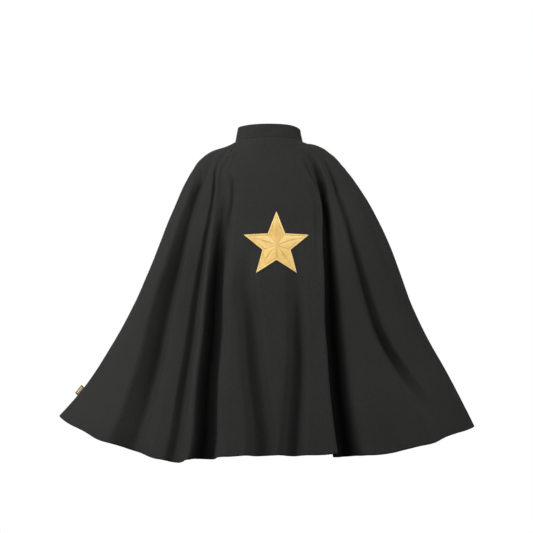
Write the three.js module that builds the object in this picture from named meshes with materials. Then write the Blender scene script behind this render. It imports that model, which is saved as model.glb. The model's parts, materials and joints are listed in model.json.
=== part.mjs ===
// Child's lined superhero cape with a stand collar, as it hangs from the wearer's neck.
// Millimetres, +Z up. +X is the wearer's right, +Y the wearer's front.
// The origin is the middle of the neck opening, level with the neck seam at the nape.
import * as THREE from "three";

// ---------------------------------------------------------------- driving dimensions
const NECK = { reach: 73, depth: 68, middle: -2 };   // half width, half depth and middle (y) of the ring
const NAPE_Y = NECK.middle - NECK.depth;
const THROAT_Y = 62;             // flat front of the neck ring, where the collar closes
const NECK_WRAP = 172.5;         // degrees from the nape round to either front end
const NECK_TILT = 0.09;          // the neck seam drops forward by this slope
const FLAT_NECK = 500;           // cut length of the neck edge before it is eased into the collar
const CUT_ANGLE = 1.22;          // radians: how fast a level of the cut grows with its distance
const CLOTH = 700;               // cloth from neck seam to hem, for the length of each level

const SHELL = 0.8;               // outer shell cloth
const AIR = 3.4;                 // loose space between shell and lining
const LINING = 0.5;
const FACING_COLUMNS = 1;        // the lining stops this many of the net's lines short of the front edges
const GAP = 0.3;                 // running gap between pieces that touch

const COLLAR_HEIGHT = 33;
const COLLAR_LEAN = 0.09;        // how much narrower the collar's top edge is
const COLLAR_FOOT = 0.5;         // collar's lower edge above the neck seam
const COLLAR_LAYERS = { outer: 0.8, interfacing: 0.6, facing: 0.8 };
const COLLAR_CORNER = 9;         // radius of the rounded top corners at the front
// Turns, in degrees from the nape, of the collar's upright folds. The nape and the throat are flat.
const SIDE_FOLDS = { first: 9, last: 156, count: 12 };
const THROAT_FOLDS = [160, 164.5, 168, 170.5, NECK_WRAP];
const TAPE = { height: 8, thickness: 0.5, reach: 140 };

const STRAP = { height: 18, middle: 15, root: 30, hinge: 12.4, tip: -31, thickness: 1.4, corner: 5 };
const PATCH = { height: 14, length: 17, thickness: 0.7, middle: 20.5 };
const STAR = { x: 15, z: -228, radius: 70, waist: 0.43 };
// Rings of each layer of the emblem, as shares of its outline. 0 is its middle point.
const STAR_RINGS = { border: [1, 0.87], field: [0.84, 0.62, 0.4, 0.2, 0], backing: [0.98, 0.74, 0.5, 0.25, 0] };
const STAR_SIDE_PARTS = 5;       // each side of the star follows the cloth in this many lengths
const BACK_PANEL = [-0.28, 0.3]; // the part of the cape's width that carries the emblem
const STAR_LAYERS = { air: 1, field: 0.8, border: 1.3, backing: 0.4, backingAir: 1 };
const WOVEN_TAB = { hemDistance: 70, length: 22, reach: 12, thickness: 0.8, air: 0.6, lift: 20 };
const CARE_LABEL = { width: 28, length: 34, thickness: 0.4, top: 1, air: 1.6 };

// The drape, by distance down the cloth as a share of its length: 0 is the neck seam, 1 the hem.
const LEFT = [[0, NECK.reach], [0.055, 106], [0.115, 138], [0.175, 162], [0.3, 201], [0.52, 264],
  [0.74, 337], [0.905, 405], [1, 452]];
const RIGHT = [[0, NECK.reach], [0.045, 103], [0.08, 124], [0.13, 147], [0.195, 174], [0.27, 202],
  [0.39, 243], [0.56, 292], [0.7, 336], [0.85, 391], [1, 443]];
const BACK = [[0, NAPE_Y], [0.09, -88], [0.18, -108], [0.36, -148], [0.58, -182], [0.8, -212], [1, -240]];
const FRONT = [[0, 66], [0.06, 68], [0.125, 62], [0.19, 55], [0.28, 44], [0.5, 24], [0.75, 10], [1, 4]];
// Half the turn of the drape around the body, in degrees: 180 would meet at the front.
const WRAP = [[0, NECK_WRAP], [0.06, 162], [0.125, 149], [0.19, 137], [0.28, 123], [0.4, 108], [0.5, 97],
  [0.6, 88], [0.75, 77], [1, 66]];
// Cloth length from neck to hem across the cape: -1 is the left front edge, 0 the back, 1 the right.
const LENGTH = [[-1, 745], [-0.85, 741], [-0.7, 740], [-0.6, 728], [-0.48, 710], [-0.33, 686],
  [-0.16, 677], [0.05, 670], [0.2, 676], [0.36, 682], [0.52, 718], [0.68, 746], [0.82, 750], [1, 763]];

// Each valley folds in along its left wall and out along its right one. bottom: where it runs, as
// [distance down the cloth, place across it], left and right: the walls' widths (share of half the
// cape) and slopes (degrees), from and full: where it starts and is whole, fade and rest: where it
// eases, and to what.
const VALLEYS = [
  { bottom: [[0.1, -0.5], [0.2, -0.55], [0.4, -0.64], [0.6, -0.69], [0.8, -0.67], [1, -0.63]],
    left: [0.11, 50], right: [0.08, 38], from: 0.05, full: 0.28, fade: 0.7, rest: 0.7 },
  { bottom: [[0.1, -0.41], [0.25, -0.435], [0.5, -0.505], [0.75, -0.51], [1, -0.47]],
    left: [0.04, 36], right: [0.1, 48], from: 0.05, full: 0.2, fade: 0.7, rest: 0.8 },
  { bottom: [[0.1, -0.33], [0.4, -0.328], [0.6, -0.343], [1, -0.303]],
    left: [0.11, 84], right: [0.16, 56], from: 0.1, full: 0.5, fade: 0.7, rest: 1 },
  { bottom: [[0.5, -0.12], [0.72, -0.08], [0.86, -0.05], [1, -0.025]],
    left: [0.08, 44], right: [0.08, 42], from: 0.3, full: 0.65, fade: 0.9, rest: 1 },
  { bottom: [[0.5, 0.11], [0.72, 0.115], [1, 0.09]],
    left: [0.07, 46], right: [0.07, 46], from: 0.3, full: 0.65, fade: 0.9, rest: 1 },
  { bottom: [[0.1, 0.27], [0.2, 0.295], [0.34, 0.32]],
    left: [0.06, 70], right: [0.05, 14], from: 0.04, full: 0.13, fade: 0.34, rest: 0 },
  { bottom: [[0.1, 0.35], [0.2, 0.37], [0.34, 0.358], [0.6, 0.362], [1, 0.366]],
    left: [0.14, 86], right: [0.14, 68], from: 0.04, full: 0.24, fade: 0.7, rest: 1 },
  { bottom: [[0.1, 0.45], [0.19, 0.49], [0.375, 0.545], [0.54, 0.605], [0.66, 0.645], [0.78, 0.7], [1, 0.8]],
    left: [0.055, 50], right: [0.06, 48], from: 0.06, full: 0.2, fade: 0.68, rest: 0.1 },
  { bottom: [[0.3, 0.7], [1, 1.05]],
    left: [0.07, 14], right: [0.07, 14], from: 0.2, full: 0.4, fade: 0.5, rest: 0.2 },
];
const FADE_SPAN = 0.3;
const WALL_EASE = 0.3;           // share of a wall's width over which its slope starts and ends
const NARROWING = { least: 0.45, from: 0.03, span: 0.6 };   // walls are narrower towards the neck
const LARGEST_FOLD = 1.2;        // folds deepen by up to this factor to take up the cloth
const LEAST_DROP = 0.05;         // share of its own length that each step of cloth drops at least

// The drape is worked out on a fine net, and the solids use every few of its lines.
const FINE = { across: 264, down: 96 };
const STEP_ACROSS = 3;
const ROWS = [0, 2, 5, 9, 14, 20, 27, 35, 44, 54, 64, 74, 84, 93, 96];
const OUTLINE_STEPS = 360;
const NEARBY = 2;                // millimetres either way over which the outline's direction is taken
const HALVINGS = 18;             // rounds of halving that find how deep a level's folds are

const RAD = Math.PI / 180;

// ---------------------------------------------------------------- curves
const clamp = (x, low, high) => Math.min(high, Math.max(low, x));

function smooth(t) {
  const s = clamp(t, 0, 1);
  return s * s * (3 - 2 * s);
}

function slopeAt(stations, i) {
  const last = stations.length - 1;
  const [xa, ya] = stations[Math.max(i - 1, 0)];
  const [xb, yb] = stations[Math.min(i + 1, last)];
  if (i === 0 || i === last) return (yb - ya) / (xb - xa);
  const [x, y] = stations[i];
  const before = x - xa;
  const after = xb - x;
  return (before * (yb - y) / after + after * (y - ya) / before) / (before + after);
}

// A smooth curve through the stations, each [distance, value].
function along(stations, x) {
  const last = stations.length - 1;
  const at = clamp(x, stations[0][0], stations[last][0]);
  let i = 0;
  while (i < last - 1 && at >= stations[i + 1][0]) i += 1;
  const [x0, y0] = stations[i];
  const [x1, y1] = stations[i + 1];
  const h = x1 - x0;
  const t = (at - x0) / h;
  const m0 = slopeAt(stations, i) * h;
  const m1 = slopeAt(stations, i + 1) * h;
  return (2 * t ** 3 - 3 * t ** 2 + 1) * y0 + (t ** 3 - 2 * t ** 2 + t) * m0
    + (3 * t ** 2 - 2 * t ** 3) * y1 + (t ** 3 - t ** 2) * m1;
}

// ---------------------------------------------------------------- the drape
// Plan outline of one level without its folds: part of an oval, flat across the throat.
function levelOutline(v) {
  const wrap = along(WRAP, v) * RAD;
  const back = along(BACK, v);
  const depth = (along(FRONT, v) - back) / (1 - Math.cos(wrap));
  const widen = wrap < Math.PI / 2 ? 1 / Math.sin(wrap) : 1;
  const points = [];
  const run = [0];
  for (let i = 0; i <= OUTLINE_STEPS; i += 1) {
    const turn = wrap * (2 * i / OUTLINE_STEPS - 1);
    const reach = along(turn < 0 ? LEFT : RIGHT, v) * widen;
    const y = Math.min(back + depth * (1 - Math.cos(turn)), THROAT_Y);
    points.push([reach * Math.sin(turn), y]);
    if (i > 0) run.push(run[i - 1] + Math.hypot(points[i][0] - points[i - 1][0], y - points[i - 1][1]));
  }
  return { points, run, length: run[OUTLINE_STEPS] };
}

function outlineAt({ points, run, length }, distance) {
  const d = clamp(distance, 0, length);
  let low = 0;
  let high = run.length - 1;
  while (high - low > 1) {
    const middle = (low + high) >> 1;
    if (run[middle] <= d) low = middle;
    else high = middle;
  }
  const t = (d - run[low]) / (run[high] - run[low]);
  return [0, 1].map((k) => points[low][k] + t * (points[high][k] - points[low][k]));
}

// A fold's wall: no slope at its ends and its full slope between.
const wall = (t) => smooth(t / WALL_EASE) * smooth((1 - t) / WALL_EASE);

// Slope of the cloth against the plain outline at position w, before it is scaled.
function foldSlope(w, v) {
  const { least, from, span } = NARROWING;
  const width = least + (1 - least) * smooth((v - from) / span);
  let slope = 0;
  for (const valley of VALLEYS) {
    const past = w - along(valley.bottom, v);
    const grown = smooth((v - valley.from) / (valley.full - valley.from));
    const eased = 1 - (1 - valley.rest) * smooth((v - valley.fade) / FADE_SPAN);
    const [leftWidth, leftSlope] = valley.left;
    const [rightWidth, rightSlope] = valley.right;
    const inward = leftSlope * wall(1 + past / (leftWidth * width));
    const outward = rightSlope * wall(past / (rightWidth * width));
    slope += grown * eased * (inward - outward);
  }
  return slope * RAD;
}

// How much the folds of a level are deepened, so that its cloth just fits its outline.
function foldFactor(slopes, fill) {
  let low = 0;
  let high = LARGEST_FOLD;
  for (let i = 0; i < HALVINGS; i += 1) {
    const factor = (low + high) / 2;
    const reach = slopes.reduce((sum, slope) => sum + Math.cos(factor * slope), 0) / slopes.length;
    if (reach > fill) low = factor;
    else high = factor;
  }
  return (low + high) / 2;
}

// Plan positions of one level of the cloth, from the left front edge round to the right.
function levelPlan(v) {
  const n = FINE.across;
  const cloth = FLAT_NECK + CUT_ANGLE * CLOTH * v;
  const outline = levelOutline(v);
  const slopes = Array.from({ length: n }, (_, i) => foldSlope((2 * i + 1) / n - 1, v));
  const factor = foldFactor(slopes, outline.length / cloth);
  const forward = [0];
  const inward = [0];
  slopes.forEach((slope, i) => {
    forward.push(forward[i] + Math.cos(factor * slope));
    inward.push(inward[i] + Math.sin(factor * slope) * cloth / n);
  });
  return forward.map((f, i) => {
    const d = f / forward[n] * outline.length;
    const depth = inward[i] - inward[n] * i / n;
    const [x, y] = outlineAt(outline, d);
    const a = outlineAt(outline, d - NEARBY);
    const b = outlineAt(outline, d + NEARBY);
    const span = Math.hypot(b[0] - a[0], b[1] - a[1]);
    return new THREE.Vector3(x - (b[1] - a[1]) / span * depth, y + (b[0] - a[0]) / span * depth, 0);
  });
}

// Each line of cloth from neck to hem drops by what its length leaves after its spread.
function drapeNet() {
  const net = [];
  for (let j = 0; j <= FINE.down; j += 1) {
    const level = levelPlan(j / FINE.down);
    level.forEach((p, i) => {
      if (j === 0) {
        p.z = -NECK_TILT * (p.y - NAPE_Y);
        return;
      }
      const above = net[j - 1][i];
      const step = along(LENGTH, 2 * i / FINE.across - 1) / FINE.down;
      const spread = Math.hypot(p.x - above.x, p.y - above.y);
      p.z = above.z - Math.sqrt(Math.max(step ** 2 - spread ** 2, (LEAST_DROP * step) ** 2));
    });
    net.push(level);
  }
  return net;
}

// The coarse net that the solids share: points and outward normals.
function coarseNet(fine) {
  const points = ROWS.map((j) => fine[j].filter((_, i) => i % STEP_ACROSS === 0));
  const normals = points.map((row, j) => row.map((_, i) => {
    const across = row[Math.min(i + 1, row.length - 1)].clone().sub(row[Math.max(i - 1, 0)]);
    const below = points[Math.min(j + 1, points.length - 1)][i].clone();
    const down = below.sub(points[Math.max(j - 1, 0)][i]);
    return down.cross(across).normalize();
  }));
  return { points, normals };
}

// ---------------------------------------------------------------- solids
function solid(vertices, triangles) {
  const geometry = new THREE.BufferGeometry();
  geometry.setAttribute("position", new THREE.Float32BufferAttribute(vertices.flatMap((p) => p.toArray()), 3));
  geometry.setIndex(triangles.flat());
  geometry.computeVertexNormals();
  return geometry;
}

// A closed skin between two grids of points, rows by columns. outer faces away from inner.
function skin(outer, inner) {
  const rows = outer.length;
  const columns = outer[0].length;
  const half = rows * columns;
  const id = (j, i) => j * columns + i;
  const triangles = [];
  const quad = (a, b, c, d) => triangles.push([a, b, c], [a, c, d]);
  for (let j = 0; j < rows - 1; j += 1) {
    for (let i = 0; i < columns - 1; i += 1) {
      const [a, b, c, d] = [id(j, i), id(j + 1, i), id(j + 1, i + 1), id(j, i + 1)];
      quad(a, b, c, d);
      quad(half + a, half + d, half + c, half + b);
    }
  }
  const rim = (a, b) => quad(a, b, half + b, half + a);
  for (let i = 0; i < columns - 1; i += 1) {
    rim(id(0, i), id(0, i + 1));
    rim(id(rows - 1, i + 1), id(rows - 1, i));
  }
  for (let j = 0; j < rows - 1; j += 1) {
    rim(id(j + 1, 0), id(j, 0));
    rim(id(j, columns - 1), id(j + 1, columns - 1));
  }
  return solid([...outer.flat(), ...inner.flat()], triangles);
}

function offsetNet({ points, normals }, distance) {
  return points.map((row, j) => row.map((p, i) => p.clone().addScaledVector(normals[j][i], distance)));
}

const outerShell = (net) => skin(offsetNet(net, 0), offsetNet(net, -SHELL));

// The lining stops a facing's width short of the front edges and the hem.
function lining(net) {
  const within = (rows) => rows.slice(0, -1).map((row) => row.slice(FACING_COLUMNS, -FACING_COLUMNS));
  const top = SHELL + AIR;
  return skin(within(offsetNet(net, -top)), within(offsetNet(net, -top - LINING)));
}

// ---------------------------------------------------------------- neck and collar
const COLLAR_TURNS = (() => {
  const { first, last, count } = SIDE_FOLDS;
  const sides = Array.from({ length: count }, (_, k) => first + (last - first) * k / (count - 1));
  const half = [...sides, ...THROAT_FOLDS];
  return [...half.map((turn) => -turn).reverse(), ...half];
})();

// A point of the collar's outer face: turn round the neck, height above the seam.
function collarPoint(turn, height) {
  const shrink = 1 - COLLAR_LEAN * height / COLLAR_HEIGHT;
  const x = NECK.reach * Math.sin(turn * RAD);
  const y = Math.min(NECK.middle - NECK.depth * Math.cos(turn * RAD), THROAT_Y) - NECK.middle;
  return new THREE.Vector3(x * shrink, NECK.middle + y * shrink, height);
}

// Outward normal in plan at a fold of the collar, long enough to keep a layer's thickness.
function collarMitre(turns, k) {
  const p = turns.map((turn) => collarPoint(turn, 0));
  const face = (a, b) => new THREE.Vector3(b.y - a.y, a.x - b.x, 0).normalize();
  const before = face(p[Math.max(k - 1, 0)], p[Math.max(k, 1)]);
  const after = face(p[Math.min(k, p.length - 2)], p[Math.min(k + 1, p.length - 1)]);
  const middle = before.clone().add(after).normalize();
  return middle.divideScalar(middle.dot(after));
}

// Height of the collar's top edge, with its front corners rounded.
function collarTop(turn) {
  const fromEnd = Math.abs(collarPoint(turn, 0).x) - collarPoint(NECK_WRAP, 0).x;
  const inward = COLLAR_CORNER - fromEnd;
  if (Math.abs(turn) < SIDE_FOLDS.last || inward <= 0) return COLLAR_HEIGHT;
  return COLLAR_HEIGHT - COLLAR_CORNER + Math.sqrt(Math.max(COLLAR_CORNER ** 2 - inward ** 2, 0));
}

function tilted(p) {
  return new THREE.Vector3(p.x, p.y, p.z - NECK_TILT * (p.y - NAPE_Y));
}

// A band that follows the neck from one depth below the collar's outer face to another.
function neckBand(turns, foot, top, depth, thickness) {
  const face = (distance) => [top, foot].map((height) => turns.map((turn, k) => {
    const p = collarPoint(turn, typeof height === "function" ? height(turn) : height);
    return tilted(p.addScaledVector(collarMitre(turns, k), -distance));
  }));
  return skin(face(depth), face(depth + thickness));
}

const INTERFACING_DEPTH = COLLAR_LAYERS.outer + GAP;
const FACING_DEPTH = INTERFACING_DEPTH + COLLAR_LAYERS.interfacing + GAP;
const COLLAR_THICKNESS = FACING_DEPTH + COLLAR_LAYERS.facing;
const collarLayer = (depth, thickness) => neckBand(COLLAR_TURNS, COLLAR_FOOT, collarTop, depth, thickness);

function neckTape() {
  const turns = COLLAR_TURNS.filter((turn) => Math.abs(turn) <= TAPE.reach);
  return neckBand(turns, COLLAR_FOOT, TAPE.height, COLLAR_THICKNESS + GAP, TAPE.thickness);
}

// ---------------------------------------------------------------- closure at the throat
// Frame of the flat throat: x across, y up the leaning collar, z out of its face.
const throatFoot = tilted(collarPoint(THROAT_FOLDS[0], 0)).setX(0);
const throatTop = tilted(collarPoint(THROAT_FOLDS[0], COLLAR_HEIGHT)).setX(0);
const throatUp = throatTop.sub(throatFoot).normalize();
const throatOut = new THREE.Vector3(1, 0, 0).cross(throatUp).negate();

// Turns a flat piece drawn in the throat's frame into place. from: distance off the collar's face.
function placeOnThroat(mesh, height, from) {
  mesh.position.copy(throatFoot).addScaledVector(throatUp, height).addScaledVector(throatOut, from);
  const basis = new THREE.Matrix4().makeBasis(new THREE.Vector3(-1, 0, 0), throatUp, throatOut);
  mesh.quaternion.setFromRotationMatrix(basis);
}

// A strip from x = a to x = b, its end at b rounded. The throat's frame runs towards -X.
function strip(a, b, height, thickness, corner) {
  const half = height / 2;
  const shape = new THREE.Shape();
  shape.moveTo(-a, -half);
  shape.lineTo(-b - corner, -half);
  shape.absarc(-b - corner, -half + corner, corner, -Math.PI / 2, 0, false);
  shape.absarc(-b - corner, half - corner, corner, 0, Math.PI / 2, false);
  shape.lineTo(-a, half);
  return new THREE.ExtrudeGeometry(shape, { depth: thickness, bevelEnabled: false, curveSegments: 5 });
}

// ---------------------------------------------------------------- star emblem
// Shares of a triangle's corners at (x, z), seen along the y axis: all are positive inside it.
function sharesAt([a, b, c], x, z) {
  const area = (b.x - a.x) * (c.z - a.z) - (c.x - a.x) * (b.z - a.z);
  const s = ((x - a.x) * (c.z - a.z) - (c.x - a.x) * (z - a.z)) / area;
  const t = ((b.x - a.x) * (z - a.z) - (x - a.x) * (b.z - a.z)) / area;
  return [1 - s - t, s, t];
}

// A point on the back panel's facets that stands behind (x, z), pushed out by a distance.
function onBack({ points, normals }, x, z, distance) {
  const columns = points[0].length - 1;
  const [first, last] = BACK_PANEL.map((w) => Math.round(columns * (1 + w) / 2));
  for (let j = 0; j < points.length - 1; j += 1) {
    for (let i = first; i < last; i += 1) {
      for (const corners of [[[j, i], [j + 1, i], [j + 1, i + 1]], [[j, i], [j + 1, i + 1], [j, i + 1]]]) {
        const shares = sharesAt(corners.map(([row, column]) => points[row][column]), x, z);
        if (Math.min(...shares) < -1e-9) continue;
        const blend = (grid) => corners.reduce(
          (sum, [row, column], k) => sum.addScaledVector(grid[row][column], shares[k]),
          new THREE.Vector3(),
        );
        return blend(points).addScaledVector(blend(normals).normalize(), distance);
      }
    }
  }
  throw new Error(`the emblem reaches past the back panel at ${x}, ${z}`);
}

// Corner k of a ten-cornered star outline, point up, at a share of its full size.
function starCorner(k, share) {
  const r = STAR.radius * share * (k % 2 === 0 ? 1 : STAR.waist);
  const turn = Math.PI / 2 + k * Math.PI / 5;
  return [STAR.x + r * Math.cos(turn), STAR.z + r * Math.sin(turn)];
}

// Star outlines at the given shares of its size, lifted onto the back as a closed skin.
function starSkin(net, shares, low, high) {
  const ring = (share, distance) => {
    const points = [];
    for (let k = 0; k < 10; k += 1) {
      const [xa, za] = starCorner(k, share);
      const [xb, zb] = starCorner(k + 1, share);
      for (let s = 0; s < STAR_SIDE_PARTS; s += 1) {
        const t = s / STAR_SIDE_PARTS;
        points.push(onBack(net, xa + (xb - xa) * t, za + (zb - za) * t, distance));
      }
    }
    return points;
  };
  const [outer, inner] = [high, low].map((distance) => shares.map((share) => ring(share, distance)));
  return ringSkin(outer, inner, shares.at(-1) === 0);
}

// A closed skin between two stacks of rings. With filled, the last ring is a single point.
function ringSkin(outer, inner, filled) {
  const n = outer[0].length;
  const rings = filled ? outer.length - 1 : outer.length;
  const face = [...outer.slice(0, rings).flat(), ...(filled ? [outer[rings][0]] : [])];
  const back = [...inner.slice(0, rings).flat(), ...(filled ? [inner[rings][0]] : [])];
  const half = face.length;
  const triangles = [];
  const bothFaces = (a, b, c) => triangles.push([a, b, c], [half + a, half + c, half + b]);
  const rim = (a, b) => triangles.push([a, half + a, half + b], [a, half + b, b]);
  for (let i = 0; i < n; i += 1) {
    const j = (i + 1) % n;
    for (let r = 0; r < rings - 1; r += 1) {
      bothFaces(r * n + i, r * n + j, (r + 1) * n + j);
      bothFaces(r * n + i, (r + 1) * n + j, (r + 1) * n + i);
    }
    rim(i, j);
    if (filled) bothFaces((rings - 1) * n + i, (rings - 1) * n + j, rings * n);
    else rim((rings - 1) * n + j, (rings - 1) * n + i);
  }
  return solid([...face, ...back], triangles);
}

// ---------------------------------------------------------------- labels
// The woven tab stands out from the left front edge, lifted a little off the line of the cloth.
function wovenTabFrame(fine) {
  const edge = fine.map((row) => row[0]);
  const share = 1 - WOVEN_TAB.hemDistance / along(LENGTH, -1);
  const row = Math.round(share * FINE.down);
  const p = edge[row];
  const down = edge[row + 1].clone().sub(edge[row - 1]).normalize();
  const out = p.clone().sub(fine[row][STEP_ACROSS]);
  out.addScaledVector(down, -out.dot(down)).normalize();
  const face = out.clone().cross(down).normalize();
  const root = p.clone().addScaledVector(out, WOVEN_TAB.air).addScaledVector(face, -SHELL);
  const lift = WOVEN_TAB.lift * RAD;
  out.multiplyScalar(Math.cos(lift)).addScaledVector(face, Math.sin(lift));
  return { root, down, out, face: out.clone().cross(down) };
}

// The care label hangs straight down inside the nape, clear of the neck tape and the lining.
function careLabelTop(net) {
  const middle = (net.points[0].length - 1) / 2;
  const nape = net.points[0][middle];
  return new THREE.Vector3(0, nape.y + SHELL + AIR + LINING + CARE_LABEL.air, -CARE_LABEL.top);
}

// ---------------------------------------------------------------- materials and assembly
const cloth = (color, roughness) => new THREE.MeshStandardMaterial({ color, roughness, metalness: 0 });
const BLACK_CLOTH = cloth(0x2e2d2b, 0.85);
const BLACK_LINING = cloth(0x1c1b1c, 0.6);
const WHITE_WEB = cloth(0xd9d7d0, 0.9);
const BLACK_TAPE = cloth(0x161616, 0.75);
const HOOK_NYLON = cloth(0x131313, 0.5);
const LOOP_NYLON = cloth(0x1a1a1a, 0.95);
const GOLD_THREAD = cloth(0xe8bf58, 0.45);
const LABEL_RIBBON = cloth(0x141313, 0.5);
const LABEL_SATIN = cloth(0xe9e7e0, 0.45);

const cape = new THREE.Group();

function add(name, geometry, material) {
  const mesh = new THREE.Mesh(geometry, material);
  mesh.name = name;
  cape.add(mesh);
  return mesh;
}

function addClosure() {
  const strapFrom = PATCH.thickness * 2 + GAP * 3;
  const strapTop = strapFrom + STRAP.thickness;
  const { height, middle, root, hinge, tip, thickness, corner } = STRAP;
  const base = new THREE.BoxGeometry(root - hinge - GAP, height, strapTop - GAP);
  base.translate(-(root + hinge + GAP) / 2, 0, (strapTop - GAP) / 2);
  placeOnThroat(add("strap_root", base, BLACK_CLOTH), middle, GAP);
  const flap = strip(hinge - GAP, tip, height, thickness, corner);
  placeOnThroat(add("closure_strap", flap, BLACK_CLOTH), middle, strapFrom);
  const patch = () => new THREE.BoxGeometry(PATCH.length, PATCH.height, PATCH.thickness)
    .translate(PATCH.middle, 0, PATCH.thickness / 2);
  placeOnThroat(add("loop_patch", patch(), LOOP_NYLON), middle, GAP);
  placeOnThroat(add("hook_patch", patch(), HOOK_NYLON), middle, GAP * 2 + PATCH.thickness);
}

function addEmblem(net) {
  const { air, field, border, backing, backingAir } = STAR_LAYERS;
  const inside = SHELL + backingAir;
  add("emblem_star", starSkin(net, STAR_RINGS.field, air, air + field), GOLD_THREAD);
  add("emblem_border", starSkin(net, STAR_RINGS.border, air, air + border), GOLD_THREAD);
  add("emblem_backing", starSkin(net, STAR_RINGS.backing, -inside - backing, -inside), WHITE_WEB);
}

function addLabels(fine, net) {
  const tab = wovenTabFrame(fine);
  const ribbon = new THREE.BoxGeometry(WOVEN_TAB.reach, WOVEN_TAB.length, WOVEN_TAB.thickness)
    .translate(WOVEN_TAB.reach / 2, 0, 0);
  const woven = add("woven_tab", ribbon, LABEL_RIBBON);
  woven.quaternion.setFromRotationMatrix(new THREE.Matrix4().makeBasis(tab.out, tab.down, tab.face));
  woven.position.copy(tab.root);
  const { width, length, thickness } = CARE_LABEL;
  const satin = new THREE.BoxGeometry(width, thickness, length).translate(0, 0, -length / 2);
  add("care_label", satin, LABEL_SATIN).position.copy(careLabelTop(net));
}

const fineNet = drapeNet();
const net = coarseNet(fineNet);
add("outer_shell", outerShell(net), BLACK_CLOTH);
add("lining", lining(net), BLACK_LINING);
add("collar_outer", collarLayer(0, COLLAR_LAYERS.outer), BLACK_CLOTH);
add("collar_interfacing", collarLayer(INTERFACING_DEPTH, COLLAR_LAYERS.interfacing), WHITE_WEB);
add("collar_facing", collarLayer(FACING_DEPTH, COLLAR_LAYERS.facing), BLACK_CLOTH);
add("neck_tape", neckTape(), BLACK_TAPE);
addClosure();
addEmblem(net);
addLabels(fineNet, net);

export default cape;
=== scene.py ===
import json
import math

import bpy
import numpy as np
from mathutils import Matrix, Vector, noise
from mathutils.bvhtree import BVHTree


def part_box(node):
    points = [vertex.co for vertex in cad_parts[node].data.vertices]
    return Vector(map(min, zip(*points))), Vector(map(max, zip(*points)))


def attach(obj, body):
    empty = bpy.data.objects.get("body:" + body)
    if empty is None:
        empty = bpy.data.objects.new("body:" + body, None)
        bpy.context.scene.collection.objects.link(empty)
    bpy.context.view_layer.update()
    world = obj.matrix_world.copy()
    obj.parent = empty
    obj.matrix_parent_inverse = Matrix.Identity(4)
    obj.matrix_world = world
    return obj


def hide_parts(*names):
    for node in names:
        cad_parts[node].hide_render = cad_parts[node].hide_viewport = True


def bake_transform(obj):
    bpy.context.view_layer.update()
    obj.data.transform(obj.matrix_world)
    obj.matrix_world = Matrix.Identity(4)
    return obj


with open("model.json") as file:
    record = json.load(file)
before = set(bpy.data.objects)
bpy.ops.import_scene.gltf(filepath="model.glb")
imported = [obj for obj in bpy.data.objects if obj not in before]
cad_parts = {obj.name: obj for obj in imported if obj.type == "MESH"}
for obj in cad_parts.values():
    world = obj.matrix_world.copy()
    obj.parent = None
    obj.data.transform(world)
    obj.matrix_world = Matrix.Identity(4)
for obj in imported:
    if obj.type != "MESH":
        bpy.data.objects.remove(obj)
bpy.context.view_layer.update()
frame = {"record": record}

SCENE = bpy.context.scene
MM = 0.001  # the sizes below are in millimetres where MM follows

# ---------- the drape, as the CAD has it
# Only two things differ from the CAD: the limit STEEPEST, and LENGTH at the left.
NECK_REACH, NECK_DEPTH, NECK_MIDDLE, NECK_WRAP = 73, 68, -2, 172.5
NAPE_Y, THROAT_Y, NECK_TILT = NECK_MIDDLE - NECK_DEPTH, 62, 0.09
FLAT_NECK, CUT_ANGLE, CLOTH = 500, 1.22, 700
# Silhouettes and plan of the drape: [share of the way from neck seam to hem, millimetres].
LEFT = [[0, NECK_REACH], [0.055, 106], [0.115, 138], [0.175, 162], [0.3, 201], [0.52, 264], [0.74, 337],
        [0.905, 405], [1, 452]]
RIGHT = [[0, NECK_REACH], [0.045, 103], [0.08, 124], [0.13, 147], [0.195, 174], [0.27, 202], [0.39, 243],
         [0.56, 292], [0.7, 336], [0.85, 391], [1, 443]]
BACK = [[0, NAPE_Y], [0.09, -88], [0.18, -108], [0.36, -148], [0.58, -182], [0.8, -212], [1, -240]]
FRONT = [[0, 66], [0.06, 68], [0.125, 62], [0.19, 55], [0.28, 44], [0.5, 24], [0.75, 10], [1, 4]]
# Half the turn of the drape around the body, in degrees.
WRAP = [[0, NECK_WRAP], [0.06, 162], [0.125, 149], [0.19, 137], [0.28, 123], [0.4, 108], [0.5, 97],
        [0.6, 88], [0.75, 77], [1, 66]]
# Cloth length from neck to hem: -1 is the left front edge, 0 the back, 1 the right front edge.
# Left of the back it runs up to 6 mm past the CAD's, where the real hem dips between the folds.
LENGTH = [[-1, 745], [-0.85, 741], [-0.7, 746], [-0.6, 730], [-0.48, 715], [-0.33, 687],
          [-0.16, 677], [0.05, 670], [0.2, 676], [0.36, 682], [0.52, 718], [0.68, 746],
          [0.82, 750], [1, 763]]
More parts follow.
